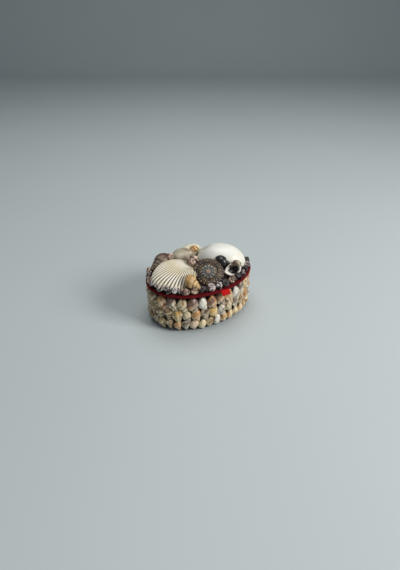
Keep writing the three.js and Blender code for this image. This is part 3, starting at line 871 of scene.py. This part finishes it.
def valveFinish(name, look):
    # growth bands across the ribs, grooves darkened with painted shade, and the beak in its own colour
    material, tree, shader = newMaterial(name, Coat_Weight=look.get("coat", 0.15), Coat_Roughness=0.3)
    growth, rib, own = readPoint(tree, "growth"), readPoint(tree, "rib"), readPoint(tree, "own")

    def streaks(along, across):
        return threeWay(tree, times(tree, growth, along), times(tree, rib, across), own)

    patches = noise(tree, streaks(3.2, 5), 1, 3)
    colour = mixed(tree, spread(tree, patches, 0.35, 0.65), look["main"], look["second"])
    bands = noise(tree, streaks(30, 1.5), 1, 4, 0.65)
    rays = noise(tree, streaks(0.8, 90), 1, 2)
    colour = tint(tree, colour, look["bandColour"], spread(tree, bands, 0.5, 0.75), look["bands"])
    if "rays" in look:
        colour = tint(tree, colour, look["rayColour"], spread(tree, rays, 0.52, 0.75), look["rays"])
    if "grooves" in look:
        # painted shade: the grooves between the ribs darkened towards a brown
        dark = spread(tree, readPoint(tree, "relief"), 0.75, 0.15)
        colour = tint(tree, colour, look["grooveShadeColour"], dark, look["grooves"])
    if "beakColour" in look:
        blur = plus(tree, growth, times(tree, sums(tree, "SUBTRACT", patches, 0.5), 0.3))
        near = spread(tree, blur, look["beakShare"], 0.02)
        colour = tint(tree, colour, look["beakColour"], near, look["beakTint"])
    if "edgeColour" in look:
        colour = tint(tree, colour, look["edgeColour"], spread(tree, growth, 0.86, 1.0), look["edgeTint"])
    tree.links.new(colour, shader.inputs["Base Color"])
    dust = noise(tree, place(tree), 900, 3)
    tree.links.new(spread(tree, dust, 0.3, 0.7, look["gloss"], look["gloss"] + 0.2),
                   shader.inputs["Roughness"])
    height = plus(tree, times(tree, bands, 0.7), times(tree, rays, 0.4))
    roughSurface(tree, shader, plus(tree, height, times(tree, dust, 0.2)), look["roughness"], 0.6)
    return material


lidValves = {
    "ribbedCockle": {
        "node": "ribbed_cockle", "at": (-25.4, -3, 8), "apex": (-0.03, -0.13, 0.99), "face": (-0.14, 1, 0),
        "look": {"length": 40.5, "width": 35, "rise": 6.4, "beak": 0.07, "beakSide": 1.5, "beakSink": 0.3,
                 "marginPoints": 396, "rows": 48, "ribs": 36, "ribDepth": 1.2, "grooveSharpness": 1.7,
                 "flatSide": 0.4, "wall": 0.9},
        "finish": {"main": paint(236, 232, 220), "second": paint(230, 221, 190), "bands": 0.2,
                   "bandColour": paint(206, 192, 156), "grooves": 1.0, "grooveShadeColour": paint(104, 84, 52),
                   "gloss": 0.5, "roughness": 0.00025, "coat": 0.04, "edgeColour": paint(236, 230, 214),
                   "edgeTint": 0.4},
    },
    "whiteClam": {
        "node": "white_clam", "at": (22, 0.8, 5.4), "apex": (0.02, 0.02, 1), "face": (-0.68, -0.73, 0),
        "look": {"length": 43, "width": 31, "rise": 15, "beak": 0.12, "marginPoints": 120, "rows": 60,
                 "ridges": 16, "ridgeDepth": 0.05, "wall": 1.1},
        "finish": {"main": paint(240, 240, 234), "second": paint(234, 232, 220), "bands": 0.25,
                   "bandColour": paint(222, 214, 192), "rays": 0.1, "rayColour": paint(220, 212, 190),
                   "gloss": 0.3, "roughness": 0.00012, "beakColour": paint(178, 176, 158), "beakShare": 0.26,
                   "beakTint": 0.7, "coat": 0.15},
    },
    "greyClam": {
        "node": "grey_clam", "at": (-6.4, 17.8, 7.2), "apex": (-0.1, 0.02, 1), "face": (0.3, 1, 0),
        "look": {"length": 22, "width": 19.5, "rise": 9.2, "beak": 0.14, "marginPoints": 120, "rows": 40,
                 "ridges": 9, "ridgeDepth": 0.1, "wall": 0.8},
        "finish": {"main": paint(204, 196, 174), "second": paint(138, 124, 104), "bands": 0.5,
                   "bandColour": paint(138, 116, 92), "rays": 0.35, "rayColour": paint(146, 134, 120),
                   "gloss": 0.36, "roughness": 0.0002, "beakColour": paint(130, 96, 66), "beakShare": 0.35,
                   "beakTint": 0.6},
    },
    "paleClamRear": {
        "node": "pale_clam_rear", "at": (3.4, 23.4, 7.2), "apex": (-0.02, 0.06, 1), "face": (1, 0.16, 0),
        "look": {"length": 15, "width": 26, "rise": 7.4, "beak": 0.14, "marginPoints": 110, "rows": 40,
                 "ridges": 8, "ridgeDepth": 0.12, "wall": 0.8},
        "finish": {"main": paint(232, 226, 204), "second": paint(218, 208, 176), "bands": 0.3,
                   "bandColour": paint(180, 156, 112), "rays": 0.2, "rayColour": paint(196, 180, 150),
                   "gloss": 0.38, "roughness": 0.0002},
    },
}

for name, shell in lidValves.items():
    obj = growValve(name, shell["look"])
    obj.data.materials.append(valveFinish(name, shell["finish"]))
    setPointValues(obj.data, "own", [len(lidPieces) * 7.3] * len(obj.data.vertices))
    lidPieces[name] = placeLidShell(
        obj, name, shell["node"], shell["at"], shell["apex"], shell["face"], (1, 1, 1), 0
    )
print("lid valves laid", flush=True)

# The beaded top shell, seen from its apex
rosette = {
    "at": (-1, -16, 9.6), "apex": (-0.27, -0.5, 0.83), "face": (1, 0, 0), "diameter": 25.8, "rise": 3.8,
    "base": 6,
    "points": 264, "rows": 64, "growthPerTurn": 1.9, "beads": 24, "rays": 12,
    "underside": ((0.35, 0.97), (0.4, 0.8), (0.25, 0.5)),  # share of the base and size of each step inwards
    "beadRows": ((0.25, 0.11, 0.9), (0.55, 0.12, 1.0), (0.82, 0.09, 0.8)),  # place in the whorl, width, size
}


def makeRosette(look):
    radius = look["diameter"] / 2
    deselectAll()
    bpy.ops.mesh.primitive_circle_add(vertices=look["points"], radius=radius, fill_type="NOTHING")
    obj = bpy.context.object
    editAll()
    # the underside first: in towards the base, closed under the middle
    for drop, size in look["underside"]:
        bpy.ops.mesh.extrude_edges_move(TRANSFORM_OT_translate={"value": (0, 0, -look["base"] * drop)})
        bpy.ops.transform.resize(value=(size, size, 1), center_override=(0, 0, 0))
    closeEnd()
    underside = len(obj.data.vertices)
    for e in obj.data.edges:
        e.select = all(abs(obj.data.vertices[i].co.z) < 1e-6 for i in e.vertices)
    for v in obj.data.vertices:
        v.select = abs(v.co.z) < 1e-6
    bpy.ops.object.mode_set(mode="EDIT")
    left = 1.0
    for row in range(1, look["rows"]):
        share = 1 - (row / look["rows"]) ** 0.92
        bpy.ops.mesh.extrude_edges_move()
        bpy.ops.transform.resize(value=(share / left, share / left, 1), center_override=(0, 0, 0))
        left = share
    closeEnd()
    relief = []
    for v in obj.data.vertices:
        reach = math.hypot(v.co.x, v.co.y) / radius
        angle = math.atan2(v.co.y, v.co.x) / math.tau
        if v.index < underside and v.co.z < -1e-6:
            relief.append(0.2)
            continue
        # whorls get smaller by the same share in each turn, so the seam is a spiral
        turns = math.log(1 / max(reach, 0.03)) / math.log(look["growthPerTurn"]) + angle
        inside = turns - math.floor(turns)
        local = max(reach, 0.06)
        height = look["rise"] * (1 - reach ** 1.35)
        seam = math.exp(-((min(inside, 1 - inside) / 0.09) ** 2))
        height -= 0.75 * seam * local
        bead = 0.0
        for row, (centre, width, size) in enumerate(look["beadRows"]):
            band = math.exp(-(((inside - centre) / width) ** 2))
            knob = band * bump((angle + turns * 0.02) * look["beads"] + row * 0.5, 1.2)
            height += 0.85 * size * local * knob
            bead = max(bead, knob)
        relief.append(bead)
        v.co.z = height if reach < 0.985 else min(0.0, v.co.z)
    mesh = obj.data
    setPointValues(mesh, "relief", relief)
    setPointValues(mesh, "reach", [math.hypot(v.co.x, v.co.y) / radius for v in mesh.vertices])
    rays = []
    for v in mesh.vertices:
        wobble = 0.12 * math.sin(1.3 * v.co.x + 2.1 * v.co.y)
        rays.append(bump(math.atan2(v.co.y, v.co.x) / math.tau * look["rays"] + wobble))
    setPointValues(mesh, "ray", rays)
    smoothAndClose(obj)
    return obj


def beadedFinish():
    # dark brown ground with paler beads, a blue-grey middle and a tan knob
    material, tree, shader = newMaterial("beadedShell", Coat_Weight=0.15, Coat_Roughness=0.3)
    relief = readPoint(tree, "relief")
    reach = readPoint(tree, "reach")
    spots = noise(tree, place(tree), 260, 4, 0.65)
    fine = noise(tree, place(tree), 1300, 3)
    ground = mixed(tree, spread(tree, spots, 0.42, 0.58), paint(24, 17, 12), paint(72, 52, 32))
    wavy = plus(tree, reach, times(tree, sums(tree, "SUBTRACT", spots, 0.5), 0.22))
    pale = mixed(tree, spread(tree, spots, 0.45, 0.62), paint(92, 70, 44), paint(186, 166, 128))
    beadShare = times(tree, spread(tree, relief, 0.3, 0.8), spread(tree, spots, 0.38, 0.56, 0.2, 0.95))
    colour = mixed(tree, beadShare, ground, pale)
    # the middle: blue-grey spokes between dark rays, then a ring of pale dots and the tan knob
    ray = readPoint(tree, "ray")
    spokes = mixed(tree, times(tree, spread(tree, ray, 0.2, 0.8), spread(tree, spots, 0.35, 0.6, 0.5, 1.0)),
                   paint(40, 38, 36), paint(122, 130, 128))
    colour = mixed(tree, spread(tree, wavy, 0.4, 0.34), colour, spokes)
    dots = spread(tree, distanceFrom(tree, reach, 0.41), 0.055, 0.02)
    colour = mixed(tree, times(tree, dots, spread(tree, ray, 0.45, 0.9, 0, 0.75)), colour,
                   paint(186, 180, 160))
    moat = spread(tree, distanceFrom(tree, reach, 0.2), 0.05, 0.015)
    colour = mixed(tree, times(tree, moat, 0.7), colour, paint(44, 42, 42))
    colour = mixed(tree, spread(tree, reach, 0.16, 0.1), colour, paint(158, 128, 98))
    colour = mixed(tree, times(tree, spread(tree, fine, 0.5, 0.7), 0.35), colour, paint(52, 40, 30))
    tree.links.new(colour, shader.inputs["Base Color"])
    tree.links.new(spread(tree, fine, 0.3, 0.7, 0.34, 0.6), shader.inputs["Roughness"])
    roughSurface(tree, shader, plus(tree, fine, spots), 0.0003, 0.6)
    return material


topShell = makeRosette(rosette)
topShell.data.materials.append(beadedFinish())
lidPieces["beadedTopShell"] = placeLidShell(
    topShell, "beadedTopShell", "beaded_top_shell", rosette["at"], rosette["apex"], rosette["face"],
    (1, 1, 1), 0,
)
print("beaded top shell laid", flush=True)

# The red velvet band round the lid's edge
band = {"length": 95, "width": 68.4, "height": 2.4, "low": 34.7, "inner": 88.6, "innerWidth": 62,
        "points": 220}


def makeBand(look):
    deselectAll()
    bpy.ops.mesh.primitive_circle_add(vertices=look["points"], radius=1, fill_type="NOTHING")
    obj = bpy.context.object
    editAll()
    profile = [(0.0, 0.0), (0.55, 0.0), (0.86, 0.12), (1.0, 0.36), (1.0, 0.64), (0.86, 0.88), (0.55, 1.0),
               (0.0, 1.0)]
    for _ in profile[1:]:
        bpy.ops.mesh.extrude_edges_move()
    bpy.ops.object.mode_set(mode="OBJECT")
    for v in obj.data.vertices:
        ring, side = divmod(v.index, look["points"])
        out, up = profile[ring]
        angle = math.tau * side / look["points"]
        halfLength = (look["inner"] + (look["length"] - look["inner"]) * out) / 2
        halfWidth = (look["innerWidth"] + (look["width"] - look["innerWidth"]) * out) / 2
        v.co = (halfLength * math.cos(angle) * mm, halfWidth * math.sin(angle) * mm,
                (look["low"] + look["height"] * up) * mm)
    makeActive(obj)
    bpy.ops.object.mode_set(mode="EDIT")
    bpy.ops.mesh.select_mode(type="EDGE")
    bpy.ops.mesh.select_all(action="DESELECT")
    bpy.ops.mesh.select_non_manifold()
    bpy.ops.mesh.bridge_edge_loops()
    bpy.ops.object.mode_set(mode="OBJECT")
    smoothAndClose(obj, 50)
    nameBoth(obj, "velvetBand")
    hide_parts("lid_edge_band")
    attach(obj, "root")
    return obj


def velvetFinish():
    # short pile: dark from the front, a little brighter where it is rubbed, and without lint
    material, tree, shader = newMaterial(
        "redVelvet", Roughness=0.85, Sheen_Weight=0.25, Sheen_Roughness=0.4,
        Sheen_Tint=(*paint(220, 60, 60), 1), Specular_IOR_Level=0.2,
    )
    pile = noise(tree, place(tree), 2600, 3)
    rubbed = noise(tree, place(tree), 160, 3)
    colour = mixed(tree, spread(tree, pile, 0.35, 0.7), paint(76, 4, 10), paint(112, 9, 18))
    colour = mixed(tree, spread(tree, rubbed, 0.5, 0.75, 0, 0.5), colour, paint(150, 24, 30))
    tree.links.new(colour, shader.inputs["Base Color"])
    roughSurface(tree, shader, pile, 0.0004, 0.8)
    return material


velvetBand = makeBand(band)
velvetBand.data.materials.append(velvetFinish())
print("band laid", flush=True)

# The satin tab: one thick sheet that leaves the band and droops over the front shells
tab = {"width": 7.4, "side": 3.0, "start": (-34.4, 36.8), "reach": 3.2, "drop": 2.8, "thick": 0.9,
       "slant": 1.2,
       "edge": 0.28, "across": 24, "along": 22}


def makeTab(look):
    deselectAll()
    bpy.ops.mesh.primitive_grid_add(x_subdivisions=look["across"], y_subdivisions=look["along"], size=1)
    obj = bpy.context.object
    y0, z0 = look["start"]
    for v in obj.data.vertices:
        across, along = v.co.x, 0.5 - v.co.y  # along runs from the band to the free end
        wide = 1 - 0.05 * along
        out = look["reach"] * math.sin(min(1, along * 1.05) * math.pi / 2)
        down = look["drop"] * (1 - math.cos(along * math.pi / 2))
        ripple = 0.1 * math.sin(across * 9 + 1) * along + 0.05 * math.sin(along * 14 + across * 3)
        v.co = (look["side"] + across * look["width"] * wide - look["slant"] * (0.5 - along) * 0.5,
                y0 - out + ripple, z0 - down + 0.08 * math.cos(across * 8) * along)
    smoothAndClose(obj)
    applyModifier(obj, "ribbon", "SOLIDIFY", thickness=look["thick"], offset=0)
    applyModifier(obj, "edge", "BEVEL", width=look["edge"], segments=3, limit_method="ANGLE")
    obj.data.transform(sizeMatrix(mm, mm, mm))
    smoothAndClose(obj, 60)
    nameBoth(obj, "satinTab")
    return obj


def satinFinish():
    material, tree, shader = newMaterial("redSatin", Specular_IOR_Level=0.15)

    def waves(scale, direction):
        inputs = {"Vector": place(tree), "Scale": scale, "Distortion": 0.6, "Detail": 2.0}
        node = addNode(tree, "ShaderNodeTexWave", inputs, wave_type="BANDS", bands_direction=direction)
        return node.outputs["Fac"]

    threads = waves(1300.0, "X")
    weave = waves(900.0, "Z")
    creases = noise(tree, place(tree), 240, 3)
    colour = mixed(tree, spread(tree, creases, 0.35, 0.7), paint(176, 4, 4), paint(200, 10, 8))
    colour = mixed(tree, times(tree, threads, 0.25), colour, paint(156, 10, 14))
    tree.links.new(colour, shader.inputs["Base Color"])
    tree.links.new(spread(tree, creases, 0.3, 0.7, 0.3, 0.42), shader.inputs["Roughness"])
    roughSurface(tree, shader, plus(tree, threads, times(tree, weave, 0.5)), 0.00008, 0.6)
    return material


satinTab = makeTab(tab)
satinTab.data.materials.append(satinFinish())
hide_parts("pull_tab")
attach(satinTab, "root")
print("tab laid", flush=True)


# The card box and the lid board keep their CAD shape: glue-stained outside, made dark as painted shade for
# the gaps between the shells, plain card inside
def cardFinish(name, plainSide):
    material, tree, shader = newMaterial(name)
    position = place(tree)
    fibres = noise(tree, position, 1500, 4, 0.65)
    clouds = noise(tree, position, 60, 3)
    card = mixed(tree, spread(tree, fibres, 0.35, 0.7), paint(176, 150, 112), paint(196, 172, 134))
    card = mixed(tree, spread(tree, clouds, 0.45, 0.7, 0, 0.4), card, paint(156, 128, 92))
    # the outside colour: glue stain, and painted shade that darkens the gaps between the wall shells
    glueAndShade = mixed(tree, spread(tree, clouds, 0.35, 0.65), paint(40, 24, 18), paint(66, 42, 28))
    glueAndShade = mixed(tree, spread(tree, fibres, 0.55, 0.75, 0, 0.5), glueAndShade, paint(92, 64, 42))
    share = plainSide(tree, position)
    tree.links.new(mixed(tree, share, glueAndShade, card), shader.inputs["Base Color"])
    tree.links.new(spread(tree, share, 0, 1, 0.5, 0.85), shader.inputs["Roughness"])
    roughSurface(tree, shader, fibres, 0.00015, 0.5)
    return material


cardOval = (0.0405, 0.027)  # half sizes in the middle of the wall's thickness
lidUnderside = (0.0349, 0.0347)


def insideBox(tree, position):
    return spread(tree, ovalReach(tree, position, cardOval), 1.02, 0.98)


def underLid(tree, position):
    split = addNode(tree, "ShaderNodeSeparateXYZ", {0: position})
    return spread(tree, split.outputs[2], *lidUnderside)


for node, name, side in (("box_body", "boxCard", insideBox), ("lid_board", "lidCard", underLid)):
    carried = bpy.data.objects[node]
    for slot in carried.material_slots:
        slot.material = cardFinish(name, side)
print("card finished", flush=True)
